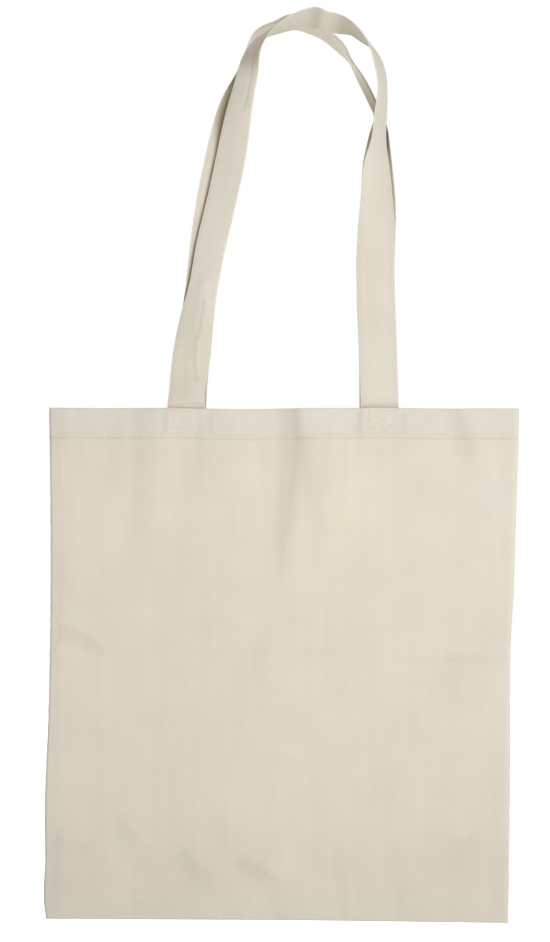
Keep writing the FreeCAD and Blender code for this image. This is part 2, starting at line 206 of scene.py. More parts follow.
# Folds and creases of the front, as the bag hangs: points (X, Z), width, depth (below 0 is a valley),
# and how much of the depth is left at the end of the line.
FRONT_FOLDS = [
    ([(-10, -309), (-9, -334), (-10, -362), (-14, -395), (-18, -436), (-27, -490)], 7.5, -6, 0.0),
    ([(-3, -330), (4, -366), (9, -395), (10, -432), (4, -475)], 7.5, -2.2, 0.0),
    ([(-46, -312), (-46, -350), (-50, -400)], 12, 1.6, 0.0),
    ([(24, -312), (29, -350), (33, -400), (26, -460)], 12, 3.0, 0.0),
    ([(-24, -480), (-30, -505), (-27, -535), (-32, -580)], 6, -1.6, 0.0),
    ([(-203, -489), (-183, -495), (-166, -506), (-144, -506)], 4.5, -2.8, 0.0),
    ([(-200, -503), (-190, -508), (-178, -516)], 9, 2.0, 0.0),
    ([(178, -510), (152, -512), (106, -512), (64, -508), (40, -505)], 3, -1.4, 0.1),
    ([(40, -505), (-40, -508), (-140, -506)], 2.6, -0.6, 0.5),
    ([(121, -309), (130, -336), (141, -354), (154, -372)], 7, -2.6, 0.0),
    ([(139, -309), (151, -338), (162, -360)], 8, 1.5, 0.0),
    ([(-131, -309), (-132, -335), (-136, -420), (-145, -460)], 7, -2.0, 0.0),
    ([(-152, -318), (-156, -372), (-163, -410)], 8, -1.6, 0.0),
    ([(-108, -318), (-112, -390), (-118, -430)], 9, 1.4, 0.0),
    ([(-84, -318), (-82, -360), (-86, -400)], 8, -1.3, 0.0),
    ([(-198, -662), (-176, -672), (-150, -684)], 9, -2.2, 0.0),
    ([(-204, -690), (-180, -702), (-150, -716)], 10, -2.2, 0.4),
    ([(-148, -640), (-133, -662), (-112, -688)], 6, -1.6, 0.0),
    ([(-96, -672), (-82, -690), (-64, -708)], 8, -2.3, 0.1),
    ([(-48, -679), (-32, -687), (-20, -698), (-13, -722)], 7, -3.0, 0.6),
    ([(-10, -672), (-4, -700)], 12, 1.5, 0.0),
    ([(37, -684), (41, -722)], 5, -1.8, 0.7),
    ([(84, -700), (96, -724)], 9, -1.6, 0.6),
    ([(150, -660), (120, -674), (84, -664)], 12, -1.6, 0.0),
]
BACK_FOLDS = [
    ([(-12, -309), (-10, -350), (-16, -400), (-12, -450)], 6.5, -2.0, 0.0),
    ([(22, -312), (26, -360), (20, -430)], 11, 1.4, 0.0),
    ([(-204, -500), (-150, -508), (-60, -507)], 3.0, -0.9, 0.2),
    ([(176, -494), (150, -504), (110, -510), (40, -508)], 3.0, -1.1, 0.0),
    ([(-150, -312), (-140, -350), (-132, -400)], 7, -1.1, 0.0),
    ([(110, -312), (122, -352), (130, -390)], 6, -0.9, 0.0),
    ([(60, -676), (52, -700), (56, -724)], 5, -1.4, 0.7),
    ([(-110, -680), (-96, -722)], 6, -1.1, 0.7),
    ([(166, -700), (140, -716)], 6, -0.9, 0.0),
]

# Creases of the handles: points (distance along from the left sewn end, distance across), width, height
FRONT_CREASES = [
    ([(376, 13), (380, -13)], 2.6, 0.8),
    ([(384, 14), (387, 0)], 3.5, -1.1),
    ([(314, 9), (304, 7.5), (293, 8), (282, 8.5), (270, 7)], 2.2, -0.5),
    ([(108, 5), (100, 5.5), (90, 4.5), (82, 4.5), (76, 1.5), (68, 2), (58, 3), (44, 7.5)], 2.2, -0.5),
    ([(120, 4), (90, 5), (60, 4), (34, 6)], 9, 2.2),
    ([(700, 3), (650, -2), (600, 0)], 9, 0.6),
]
BACK_CREASES = [
    ([(300, -8), (270, -6), (240, -9)], 2.5, -0.7),
    ([(110, -4), (60, 2)], 8, 1.1),
    ([(650, 5), (600, 3)], 7, 0.8),
]

# Painted shade on the handles, where they are darker out of the light, as distances along: face (1 outside),
# start, full from, full to, end, and how much (below 0 is painted light)
FRONT_PAINTED_SHADE = [
    (1, 15, 30, 80, 110, 0.07), (1, 95, 120, 165, 200, -0.05), (1, 290, 312, 330, 352, 0.36),
    (-1, 368, 376, 378, 384, 0.16), (-1, 386, 404, 424, 450, 0.3), (1, 520, 560, 640, 690, 0.04),
]
BACK_PAINTED_SHADE = [(-1, 425, 468, 488, 535, 0.56), (1, 425, 445, 465, 500, 0.25)]

# How the sewn outline differs from a true rectangle: share of the height against X, share across against Z
LEFT_EDGE = Spline([0, 0.02, 0.1, 0.2, 0.33, 0.55, 1], [-2.6, -4.0, -3.8, -3.9, -2.1, 0.6, -0.2])
RIGHT_EDGE = Spline(
    [0, 0.17, 0.45, 0.54, 0.62, 0.72, 0.82, 1],
    [-6.6, -5.4, -5.0, -4.6, -2.6, -1.2, 0.2, 2.4],
)
MOUTH_EDGE = Spline(
    [-1, -0.72, -0.41, -0.12, 0.06, 0.23, 0.41, 0.6, 0.92, 1],
    [2, 1.5, 1.4, 0.4, 1.3, 1.3, 1.6, 1.1, 1.3, 1.2],
)
FOOT_EDGE = Spline([-1, -0.4, 0, 0.5, 1], [0.4, -0.2, -0.6, -1.7, -3.0])


def from_seams(x, z):
    """How far a point of the cloth is in from the nearer side seam, and from the bottom seam."""
    return HALF - np.abs(x - MIDDLE), z - FOOT


def sewn_outline(x, z):
    """Moves a point of a true rectangle to its place in the sewn bag's outline."""
    up = (z - FOOT) / HEIGHT
    over = (x - MIDDLE) / HALF
    left = (1 - over) / 2
    shift_x = LEFT_EDGE(up) * left + RIGHT_EDGE(up) * (1 - left)
    return x + shift_x, z + FOOT_EDGE(over) * (1 - up) + MOUTH_EDGE(over) * up


class Panel:
    """One side of the bag as a surface: where any point of its cloth is, before it gets its thickness."""

    def __init__(self, side, folds, seed):
        self.side, self.folds, self.seed = side, folds, seed

    def outline(self, x, z):
        """A point's place in the sewn outline, with the little puckers of the seams."""
        over = (x - MIDDLE) / HALF
        pucker = 0.35 * rough(z, 0 * z, 9, self.seed + 3) * smooth(0.93, 1, np.abs(over)) * np.sign(over)
        at_x, at_z = sewn_outline(x, z)
        return at_x + pucker, at_z

    def out(self, x, z):
        """How far the middle of the outer layer stands out from the bag's middle plane."""
        up = np.clip((z - FOOT) / (HEM_LINE - FOOT), 0, 1)
        over = (x - MIDDLE) / HALF
        bulge = FOOT_BULGE + (MOUTH_BULGE - FOOT_BULGE) * up
        deep = EDGE_GAP + bulge * (1 - over**2)
        deep += self.sewing(x, z) + self.wear(x, z)
        edge_in = np.minimum(*from_seams(x, z))
        least = 0.75 + 0.6 * smooth(ALLOWANCE + 4, ALLOWANCE, edge_in)
        deep = np.where(deep < least + 0.5, least + 0.5 * np.exp((deep - least) * 2 - 1), deep)
        rounding = 1.6
        inward = np.clip(edge_in / rounding, 0, 1)
        return SEAM_GAP + (deep - SEAM_GAP) * np.sqrt(1 - (1 - inward) ** 2)

    def sewing(self, x, z):
        """Relief from the layers and stitches beneath: hem, strap ends, seam allowances, box stitches."""
        hem = smooth(HEM_LINE - 1.5, HEM_LINE + 0.5, z)
        relief = 0.8 * hem - 0.15 * hump(z - STITCH_Z, 0.8)
        for end in ENDS.values():
            local_x, local_z = x - end[0], z - (MOUTH - TUCK)
            beside = 1 - smooth(STRAP_WIDTH / 2 - 0.8, STRAP_WIDTH / 2 + 1.6, np.abs(local_x))
            patch = beside * smooth(-1.4, 0.2, local_z)
            tent = hump(np.abs(local_x) - STRAP_WIDTH / 2 - 3.2, 2.2) * smooth(-2, 4, local_z)
            relief += 0.75 * patch - 0.35 * tent
            relief -= 0.2 * box_groove(local_x, z) * hem
        for inside in from_seams(x, z):
            step = smooth(ALLOWANCE - 1.8, ALLOWANCE + 1.8, inside)
            relief -= 0.42 * step * hump(np.maximum(inside - ALLOWANCE - 1.8, 0), 16)
        return relief

    def creases(self, x, z):
        """The folds and creases alone."""
        relief = 0.0
        for points, width, depth, end in self.folds:
            away, share = along(points, x, z)
            ends = np.minimum(1, share / 0.08 + (0.35 if abs(points[0][1] - MOUTH) > 3 else 1))
            relief = relief + depth * hump(away, width) * ends * (1 - (1 - end) * smooth(0.35, 1, share))
        return relief * smooth(0, 7, from_seams(x, z)[0])

    def wear(self, x, z):
        """Folds, creases and the soft unevenness of washed cotton."""
        relief = self.creases(x, z)
        side_in, foot_in = from_seams(x, z)
        quiet = smooth(0, 14, side_in) * smooth(0, 14, foot_in)
        relief += quiet * 1.5 * rough(x, z * 0.45, 62, self.seed)
        relief += quiet * 0.42 * rough(x, z * 0.6, 17, self.seed + 1)
        foot = smooth(FOOT + 75, FOOT + 20, z) * quiet
        relief += foot * 1.5 * rough(x, z, 30, self.seed + 2)
        hem = smooth(HEM_LINE - 26, HEM_LINE + 4, z)
        relief += hem * quiet * 0.42 * rough(x, 0 * z, 11, self.seed + 4)
        seam = hump(side_in - 5, 7) * quiet
        relief += seam * 0.35 * rough(0 * x, z, 8, self.seed + 5)
        return relief

    def place(self, x, z, deeper):
        """Points in the part's frame; deeper goes in from the outer layer's middle, towards the inside."""
        at_x, at_z = self.outline(x, z)
        y = self.side * (self.out(x, z) - deeper)
        return np.stack([at_x, y + 0 * at_x, at_z], axis=-1)


def box_lines():
    """The box with a cross as straight runs about a strap end's middle, in X and Z."""
    half = (BOX_HIGH[0] - BOX_LOW[0]) / 2 - 0.6
    low, high = BOX_LOW[2] + 0.3, BOX_HIGH[2] - 0.3
    corners = [(-half, low), (half, low), (half, high), (-half, high)]
    runs = [(corners[i], corners[(i + 1) % 4]) for i in range(4)]
    return runs + [(corners[0], corners[2]), (corners[1], corners[3])]


def box_groove(local_x, z):
    """1 on the lines of a box stitch, 0 away from them."""
    groove = np.zeros(np.broadcast(local_x, z).shape)
    for a, b in box_lines():
        away, _ = along([a, b], local_x, z)
        groove = np.maximum(groove, hump(away, 0.9))
    return groove


# ---------------------------------------------------------------- meshes


class Shape:
    """Collects vertices, faces and each vertex's place on the cloth, then makes the Blender object."""

    def __init__(self):
        self.verts, self.faces, self.cloth, self.count = [], [], [], 0

    def grid(self, points, cloth, around=False):
        """A sheet of quads over an array of points; around joins each row's end to its start."""
        rows, columns = points.shape[:2]
        index = np.arange(rows * columns).reshape(rows, columns) + self.count
        wide = np.concatenate([index, index[:, :1]], axis=1) if around else index
        quads = np.stack([wide[:-1, :-1], wide[:-1, 1:], wide[1:, 1:], wide[1:, :-1]], axis=-1)
        self.verts.append(points.reshape(-1, 3))
        self.faces += quads.reshape(-1, 4).tolist()
        self.cloth.append(cloth.reshape(-1, 2))
        self.count += rows * columns

    def tube(self, rings, cloth=None):
        """A closed solid through rings of points, capped at both ends."""
        count, sides = rings.shape[:2]
        start = self.count
        self.grid(rings, np.zeros((count, sides, 2)) if cloth is None else cloth, around=True)
        self.faces.append([start + i for i in range(sides)][::-1])
        self.faces.append([start + (count - 1) * sides + i for i in range(sides)])

    def finish(self, name, material, slot, shade=None):
        mesh = bpy.data.meshes.new(name)
        verts = np.concatenate(self.verts) * MM
        mesh.from_pydata(verts.tolist(), [], self.faces)
        mesh.update()
        cloth = np.zeros((len(verts), 3), np.float32)
        cloth[:, :2] = np.concatenate(self.cloth) * MM
        keep(mesh, "weave", cloth)
        tone = np.ones((len(verts), 3), np.float32)
        if shade is not None:
            tone *= shade
        keep(mesh, "shade", tone)
        mesh.polygons.foreach_set("use_smooth", np.ones(len(mesh.polygons), bool))
        mesh.materials.append(material)
        piece = bpy.data.objects.new(name, mesh)
        bpy.context.scene.collection.objects.link(piece)
        return piece


def keep(mesh, name, values):
    """Stores three numbers for each vertex, which the materials read by name."""
    layer = mesh.attributes.new(name, "FLOAT_VECTOR", "POINT")
    layer.data.foreach_set("vector", values.ravel())


def thicken(piece, thickness):
    """Gives a sheet its thickness, half to each side, in the mesh itself."""
    solid = piece.modifiers.new("thickness", "SOLIDIFY")
    solid.thickness = thickness * MM
    solid.offset = 0.0
    solid.use_even_offset = False
    bpy.context.view_layer.update()
    graph = bpy.context.evaluated_depsgraph_get()
    evaluated = piece.evaluated_get(graph)
    mesh = bpy.data.meshes.new_from_object(evaluated, preserve_all_data_layers=True, depsgraph=graph)
    piece.modifiers.clear()
    piece.data = mesh
    return piece


def spread(stops):
    """Rising values from runs of (start, end, step), joined without repeats."""
    values = [
        np.linspace(start, end, max(2, int(round(abs(end - start) / step)) + 1))
        for start, end, step in stops
    ]
    joined = np.concatenate(values)
    return joined[np.concatenate([[True], np.diff(joined) > 1e-6])]


def panel_columns():
    """X of the cloth's grid lines: fine at the side seams and over the strap ends."""
    reach = STRAP_WIDTH / 2 + 4
    left, right = ENDS["left"][0], ENDS["right"][0]
    return spread(
        [
            (LEFT, LEFT + 2, 0.3), (LEFT + 2, LEFT + 14, 1.0), (LEFT + 14, left - reach, 2.8),
            (left - reach, left + reach, 1.0), (left + reach, right - reach, 2.5),
            (right - reach, right + reach, 1.0), (right + reach, RIGHT - 14, 2.8),
            (RIGHT - 14, RIGHT - 2, 1.0), (RIGHT - 2, RIGHT, 0.3),
        ]
    )


def panel_cloth(name, panel, material):
    """A side of the bag with its hem, one sheet: up the outside, over the mouth and down inside."""
    x = panel_columns()
    rows = spread(
        [
            (FOOT, FOOT + 2, 0.3), (FOOT + 2, FOOT + 14, 1.2), (FOOT + 14, HEM_LINE - 8, 2.8),
            (HEM_LINE - 8, HEM_LINE - 2, 1.5), (HEM_LINE - 2, HEM_LINE + 6, 0.6),
            (HEM_LINE + 6, MOUTH - 1.2, 1.1),
        ]
    )
    turn = HEM_STACK / 2
    path = [(z, 0.0, z) for z in rows]
    for angle in np.linspace(0, math.pi, 9)[1:-1]:
        z = MOUTH - turn - CLOTH / 2 + math.sin(angle) * turn
        path.append((z, turn - math.cos(angle) * turn, z))
    path += [(z, HEM_STACK, z) for z in np.linspace(MOUTH - 1.3, HEM_LINE + 0.4, 20)]
    path += [(HEM_LINE + up, HEM_STACK - back, 0) for up, back in ((0.1, 0.15), (0.2, 0.4), (3, 0.5))]
    run, gone, last = [], 0.0, path[0]
    for here in path:
        gone += math.hypot(here[0] - last[0], here[1] - last[1])
        run.append(gone)
        last = here
    points = np.stack([panel.place(x, np.full_like(x, z), deeper) for z, deeper, _ in path])
    cloth = pairs(x[None, :], np.array(run)[:, None])
    if panel.side == FRONT:
        points, cloth = points[:, ::-1], cloth[:, ::-1]
    shape = Shape()
    shape.grid(points, cloth)
    flat_z = np.array([z for z, _, _ in path])[:, None] + 0 * points[..., 0]
    flat_x = cloth[..., 0]
    shade = cloth_tone_and_painted_shade(flat_x, flat_z, panel).reshape(-1, 3)
    piece = thicken(shape.finish(name, material, "canvas", shade), CLOTH)
    return piece


def cloth_tone_and_painted_shade(x, z, panel):
    """Tint of the cloth, 1 for plain. It is greyer where more layers lie behind it, and has painted shade,
    darker in the valleys of folds, towards the left side and the foot, at the hem line, and beside the strap
    ends."""
    hem = layers = smooth(HEM_LINE - 0.8, HEM_LINE + 0.8, z)
    for inside in from_seams(x, z):
        layers = np.maximum(layers, 0.7 * smooth(ALLOWANCE + 1.5, ALLOWANCE - 1.5, inside))
    tone = 1 + 0.018 * rough(x, z, 48, panel.seed + 8) - 0.008 * layers
    # Painted shade in the valleys of folds, and a little painted light on their ridges
    tone += np.clip(0.02 * panel.creases(x, z), -0.1, 0.02)
    # Painted shade: darker towards the left side and the foot, a painted shadow line under the hem's lower
    # edge,
    # a dark left edge and a shaded band of cloth below the hem; painted light along the right edge
    tone -= 0.05 * smooth(20, -120, x) + 0.045 * smooth(LEFT + 24, LEFT + 5, x)
    tone -= 0.035 * smooth(FOOT + 92, FOOT + 42, z)
    tone -= 0.08 * hump(z - HEM_LINE + 0.7, 1.0) + 0.028 * hem
    tone -= 0.22 * smooth(LEFT + 2.2, LEFT + 0.2, x) - 0.08 * smooth(RIGHT - 5, RIGHT, x)
    tone -= 0.025 * smooth(HEM_LINE - 60, HEM_LINE - 1, z) * smooth(HEM_LINE + 0.5, HEM_LINE - 0.5, z)
    # Painted shade in the dips of the cloth beside each strap end in the hem
    over_end = smooth(HEM_LINE + 1, HEM_LINE + 6, z) * smooth(MOUTH - 2, MOUTH - 6, z)
    for end in ENDS.values():
        tone -= 0.06 * over_end * hump(np.abs(x - end[0]) - STRAP_WIDTH / 2 - 2.5, 2.4)
    grey = layers
    if panel.side == FRONT:
        low, high = cad("care_label")
        label = smooth(low[0] - 1, low[0] + 1, x) * smooth(low[2] - 1, low[2] + 1, z)
        label = label * smooth(high[2] + 1, high[2] - 1, z) * smooth(high[0], high[0] - 8, x)
        grey = np.maximum(grey, 1.4 * label)
    tint = 1 + grey[..., None] * np.array([-0.012, 0.0, 0.045])
    return np.asarray(tone[..., None] * tint, np.float32)


# ---------------------------------------------------------------- handles


class Strap:
    """A handle's middle line with its cross directions, sewn end to sewn end."""

    def __init__(self, route, side, creases, dark):
        self.side, self.creases, self.dark = side, creases, dark
        up_end = (MOUTH - TUCK, MOUTH - TUCK / 2, MOUTH)
        left, right = [[(end[0], z, SEWN_ROLL) for z in up_end] for end in ENDS.values()]
        points = left + route + right[::-1]
        places = []
        for x, z, _ in points:
            up = min(max(1 - z / MOUTH, 0), 1)
            lean = STRAP_LEAN * smooth(-235, -130, z) * (1 - smooth(-72, -36, z)) if x < 0 else 0.0
            places.append((x, side * (STRAP_BASE_Y + (STRAP_CROWN_Y - STRAP_BASE_Y) * up - lean), z))
        places = np.array(places)
        knots = np.concatenate([[0], np.cumsum(np.linalg.norm(np.diff(places, axis=0), axis=1))])
        self.length = knots[-1]
        self.line = Spline(knots, places)
        self.roll = Spline(knots, [roll for _, _, roll in points])
        self.sewn = (knots[2], knots[-3])

    def frames(self, run):
        """Middle, direction across and outward face direction at distances along the strap."""
        middle = self.line(run)
        ahead = unit(self.line(run + 0.5) - self.line(run - 0.5))
        inward = unit(np.stack([ahead[:, 2], 0 * ahead[:, 0], -ahead[:, 0]], axis=-1))
        roll = np.radians(self.roll(run))[:, None]
        across = inward * np.cos(roll) + np.array([0, self.side, 0]) * np.sin(roll)
        across = unit(across - ahead * (across * ahead).sum(axis=1, keepdims=True))
        face = np.cross(across, ahead) * -self.side
        return middle, across, face

    def cup(self, run, over):
        """How the strap curls, over from -1 to 1 across: its middle stands out from its edges."""
        free = smooth(0, 30, run - self.sewn[0]) * smooth(0, 30, self.sewn[1] - run)
        wave = 0.5 * np.sin(run / 41) + 0.35 * np.sin(run / 23 + 2)
        return free * ((0.9 + 0.5 * wave) * (0.35 - over**2) + 0.25 * wave * over)

    def skin(self, over, face):
        """Half thickness across the strap: rounded folds at its edges, and a groove at the stitches."""
        edge = np.sqrt(np.clip(1 - np.abs(over) ** 14, 0, 1))
        groove = 0.26 * hump((np.abs(over) - EDGE_ROW) * STRAP_WIDTH / 2, 0.9)
        return face * (STRAP_THICK / 2 * edge - groove * edge)

    def point(self, run, over, face):
        """Points on the strap's skin; face is 1 outside and -1 inside."""
        middle, across, out = self.frames(run)
        height = self.skin(over, face) + self.cup(run, over) + self.relief(run, over)
        return middle + across * (over * STRAP_WIDTH / 2)[:, None] + out * height[:, None]

    def relief(self, run, over):
        """The strap's creases, and the buckle where it comes out of the hem."""
        from_end = np.minimum(run - self.sewn[0], self.sewn[1] - run)
        lift = 0.5 * hump(from_end - 7, 1.6) - 0.45 * hump(from_end - 3.6, 1.3)
        for points, width, depth in self.creases:
            away, _ = along(points, run, over * STRAP_WIDTH / 2)
            lift += depth * hump(away, width)
        return lift


def strap_section():
    """Places round a strap's cross-section: share of the half width, and the face."""
    bend = np.linspace(0, math.pi / 2, 6)
    quarter = np.concatenate([np.linspace(0, EDGE_ROW - 0.12, 18), EDGE_ROW + np.array([-0.06, 0, 0.06])])
    edge = 1 - (1 - np.sin(bend[1:])) * 0.06
    half = np.concatenate([quarter, edge[:-1], [1.0]])
    top = [(o, 1) for o in np.concatenate([-half[::-1], half[1:]])]
    return top + [(o, -1) for o, _ in top[::-1][1:-1]]


def strap_cloth(name, strap, other, material):
    """One handle as a single folded strap, from one sewn end to the other."""
    run = np.linspace(0.3, strap.length - 0.3, 700)
    run = np.sort(np.concatenate([run, strap.sewn[0] + np.arange(0.5, 12, 1.0)]))
    section = strap_section()
    rings = np.stack([strap.point(run, np.full_like(run, over), face) for over, face in section], axis=1)
    width = np.array([over for over, _ in section]) * STRAP_WIDTH / 2
    apart = 500  # keeps the straps' yarns from repeating the panels'
    cloth = pairs(width[None, :] + apart, run[:, None])
    shape = Shape()
    shape.tube(rings, cloth)
    face = np.tile([-1 if over < -0.97 else face for over, face in section], len(run))
    tone = strap_painted_shade(strap, other, rings.reshape(-1, 3), np.repeat(run, len(section)), face)
    return shape.finish(name, material, "strap", shade=tone)


SHADE_WARMTH = np.array([0.9, 1.0, 1.25])  # light that has bounced between cotton faces is warmer


def strap_painted_shade(strap, other, points, run, face):
    """Painted shade of a handle at points of its skin: darker out of the light and in its narrow creases,
    and a painted contact shadow on the back handle's inner face along the gap between the two handles' legs."""
    tone = np.ones(len(points))
    for side, start, full, last, end, amount in strap.dark:
        tone -= amount * smooth(start, full, run) * smooth(end, last, run) * (face == side)
    middle, across, _ = strap.frames(run)
    over = ((points - middle) * across).sum(axis=1)
    # Painted shade along the handle's narrow creases
    for line, width, depth in strap.creases:
        if width < 3:
            away, _ = along(line, run, over)
            tone += 0.16 * min(depth, 0) * hump(away, width) * (face > 0)
    if strap.side == FRONT:
        return tone[:, None] ** SHADE_WARMTH
    # A painted contact shadow on the back handle's inner face, where the front handle's outer edge lies
    # close over it
    steps = np.linspace(0, other.length, 500)
    edge = other.point(steps, np.full_like(steps, -1.0), 1)
    legs_top, legs_foot = -28, -262
    hidden = (face < 0) & (points[:, 2] < legs_top) & (points[:, 2] > legs_foot)
    inner = points[hidden]
    away = np.hypot(inner[:, None, 0] - edge[None, :, 0], inner[:, None, 2] - edge[None, :, 2])
    nearest = np.argmin(away, axis=1)
    apart = np.abs(inner[:, 1] - edge[nearest, 1])
    reach = 2.0 + 3.6 * smooth(-105, -65, inner[:, 2])
    on_legs = smooth(legs_foot, -235, inner[:, 2]) * smooth(legs_top, -42, inner[:, 2])
    tone[hidden] *= 1 - 0.9 * hump(away.min(axis=1), reach) * hump(apart, 20) * on_legs
    return tone[:, None] ** SHADE_WARMTH


# ---------------------------------------------------------------- sewing


def stitch_row(shape, place, start, end, length=STITCH, radius=THREAD):
    """Adds a row of separate stitches. place(run) gives a point on the cloth and its outward direction."""
    count = max(1, int(round((end - start) / length)))
    step = (end - start) / count
    steps = np.linspace(-0.44, 0.44, 6)
    rise = np.array([-0.55, 0.45, 0.85, 0.85, 0.45, -0.55]) * radius
    girth = np.array([0.55, 0.95, 1, 1, 0.95, 0.55]) * radius
    angles = np.linspace(0, 2 * math.pi, 6, endpoint=False)
    centres = start + (np.arange(count) + 0.5) * step
    runs = (centres[:, None] + steps[None, :] * step).ravel()
    points, outs = place(runs)
    points = points.reshape(count, 6, 3)
    outs = outs.reshape(count, 6, 3)
    ahead = unit(points[:, -1] - points[:, 0])
    across = unit(np.cross(ahead[:, None, :], outs))
    middles = points + outs * rise[None, :, None]
    for i in range(count):
        ring = [
            middles[i] + (across[i] * math.cos(a) + outs[i] * math.sin(a) * 0.8) * girth[:, None]
            for a in angles
        ]
        along_row = ((i + 0.5 + steps) * step)[:, None]
        shape.tube(np.stack(ring, axis=1), pairs(angles[None, :] * radius, along_row))


def on_panel(panel, x_of, z_of, deeper, face):
    """A place function for stitches on a panel: face 1 is the outside of the bag, -1 its inside."""

    def place(run):
        x, z = x_of(run), z_of(run)
        deep = deeper(x) if callable(deeper) else deeper
        out = np.tile(np.array([0.0, panel.side * face, 0.0]), (len(run), 1))
        return panel.place(x, z, deep), out

    return place


def hem_stitches(name, panel, inside, material):
    """The row along the hem's lower edge, outside or inside."""
    shape = Shape()
    depth, face = (hem_inside, -1) if inside else (-CLOTH / 2, 1)
    place = on_panel(panel, lambda run: run, lambda run: 0 * run + STITCH_Z, depth, face)
    stitch_row(shape, place, LEFT + 3.5, RIGHT - 3.5)
    return shape.finish(name, material, "thread")


def hem_inside(x):
    """Depth of the hem's inner face, or of the strap's inner face where a strap end lies on it."""
    depth = np.full_like(x, HEM_STACK + CLOTH / 2)
    for end in ENDS.values():
        depth += (STRAP_THICK + 0.15) * (np.abs(x - end[0]) < STRAP_WIDTH / 2)
    return depth


def box_stitches(name, panel, strap, end, material):
    """The box with a cross through one strap end, on the bag's outside and on the strap's inside."""
    shape = Shape()
    side = -1 if end == "left" else 1
    for (ax, az), (bx, bz) in box_lines():
        span = math.dist((ax, az), (bx, bz))

        def x_at(run, ax=ax, bx=bx, span=span):
            return ENDS[end][0] + ax + (bx - ax) * run / span

        def z_at(run, az=az, bz=bz, span=span):
            return az + (bz - az) * run / span

        stitch_row(shape, on_panel(panel, x_at, z_at, -CLOTH / 2, 1), 0, span, BOX_STITCH)

        def on_strap(run, x_at=x_at, z_at=z_at):
            up = z_at(run) - (MOUTH - TUCK)
            along_strap = up if side < 0 else strap.length - up
            over = (x_at(run) - ENDS[end][0]) / (STRAP_WIDTH / 2) * -side
            points = strap.point(along_strap, over, -1.0)
            return points, np.tile(np.array([0.0, -strap.side, 0.0]), (len(run), 1))

        stitch_row(shape, on_strap, 0, span, BOX_STITCH)
    return shape.finish(name, material, "thread")


def edge_stitches(name, strap, other, material):
    """The two rows along a handle's edges, on both its faces."""
    shape = Shape()
    tones = []
    start, end = strap.sewn[0] + 1, strap.sewn[1] - 1
    for over in (-EDGE_ROW, EDGE_ROW):
        for face in (1, -1):

            def place(run, over=over, face=face):
                points = strap.point(run, np.full_like(run, over), face)
                return points, strap.frames(run)[2] * face

            first = len(shape.verts)
            stitch_row(shape, place, start, end, EDGE_STITCH, EDGE_THREAD)
            points = np.concatenate(shape.verts[first:])
            run = np.concatenate(shape.cloth[first:])[:, 1] + start
            # The stitches take the same painted shade as the strap beneath them
            tones.append(strap_painted_shade(strap, other, points, run, np.full(len(run), face)))
    return shape.finish(name, material, "thread", shade=np.concatenate(tones))


def at_seam(x, y, z):
    """Points of the parts inside a seam, which follow the sewn outline."""
    at_x, at_z = sewn_outline(x, z)
    return np.stack([at_x, y, at_z], axis=-1)


def seam_size(where, low, high):
    """Whether what lies along a seam stands upright, its length and its width."""
    wide, tall = high[0] - low[0], high[2] - low[2]
    return (False, wide, tall) if where == "bottom" else (True, tall, wide)


def allowance(name, where, material):
    """The two raw cloth edges turned inside at one seam, slightly wavy."""
    low, high = cad(f"{where}_seam_allowance")
    tall, length, width = seam_size(where, low, high)
    run = np.linspace(0, length, 150)
    raw_at_low = where == "right"
    shape = Shape()
    for layer in (0, 1):
        y = low[1] + (high[1] - low[1]) * (0.25 + 0.5 * layer)
        over = np.linspace(0, width, 9)
        grid_run, grid_over = np.meshgrid(run, over, indexing="ij")
        away = 1 - grid_over / width if raw_at_low else grid_over / width
        wave = 0.12 * away * np.sin(grid_run / 6.5 + layer)
        wave += 0.08 * away * rough(grid_run, 0 * grid_run, 12, 5)
        if tall:
            points = at_seam(low[0] + grid_over, y + wave, low[2] + grid_run)
        else:
            points = at_seam(low[0] + grid_run, y + wave, low[2] + grid_over)
        shape.grid(points, np.stack([grid_over, grid_run], axis=-1))
    piece = thicken(shape.finish(name, material, "canvas"), CLOTH * 0.9)
    return piece


def overlock(name, where, material):
    """Thread wrapped round a raw edge in close leaning loops."""
    low, high = cad(f"{where}_seam_overlock")
    tall, length, width = seam_size(where, low, high)
    turns = int(length / OVERLOCK_PITCH)
    steps = np.linspace(0, turns, turns * 10 + 1)
    angle = steps * 2 * math.pi
    middle = (low + high) / 2
    half_width = width / 2 - 0.25
    half_deep = (high[1] - low[1]) / 2 - 0.2
    over = half_width * np.cos(angle)
    y = middle[1] + half_deep * np.clip(np.sin(angle) * 1.6, -1, 1)
    run = 0.5 + steps / turns * (length - 1) + 0.5 * np.cos(angle)
    if tall:
        path = at_seam(middle[0] + over, y, low[2] + run)
    else:
        path = at_seam(low[0] + run, y, middle[2] + over)
    shape = Shape()
    shape.tube(tube_rings(path, OVERLOCK_THREAD, 5))
    return shape.finish(name, material, "overlock")


def tube_rings(path, radius, sides):
    """Rings of points round a path, for a thread."""
    ahead = unit(np.gradient(path, axis=0))
    side = unit(np.cross(ahead, np.array([0.3, 0.9, 0.31])))
    up = np.cross(side, ahead)
    angles = np.linspace(0, 2 * math.pi, sides, endpoint=False)
    return np.stack([path + radius * (side * math.cos(a) + up * math.sin(a)) for a in angles], axis=1)


def seam_thread(name, where, material):
    """The stitches that hold the two panels together, just inside the sewn edge."""
    low, high = cad(f"{where}_seam_thread")
    middle = (low + high) / 2
    tall, length, _ = seam_size(where, low, high)

    def place(run):
        x = middle[0] + 0 * run if tall else low[0] + run
        z = low[2] + run if tall else middle[2] + 0 * run
        out = np.tile(np.array([0.0, 1.0, 0.0]), (len(run), 1))
        return at_seam(x, middle[1] + 0 * run, z), out

    shape = Shape()
    stitch_row(shape, place, 1, length - 1, SEAM_STITCH, SEAM_THREAD)
    return shape.finish(name, material, "thread")


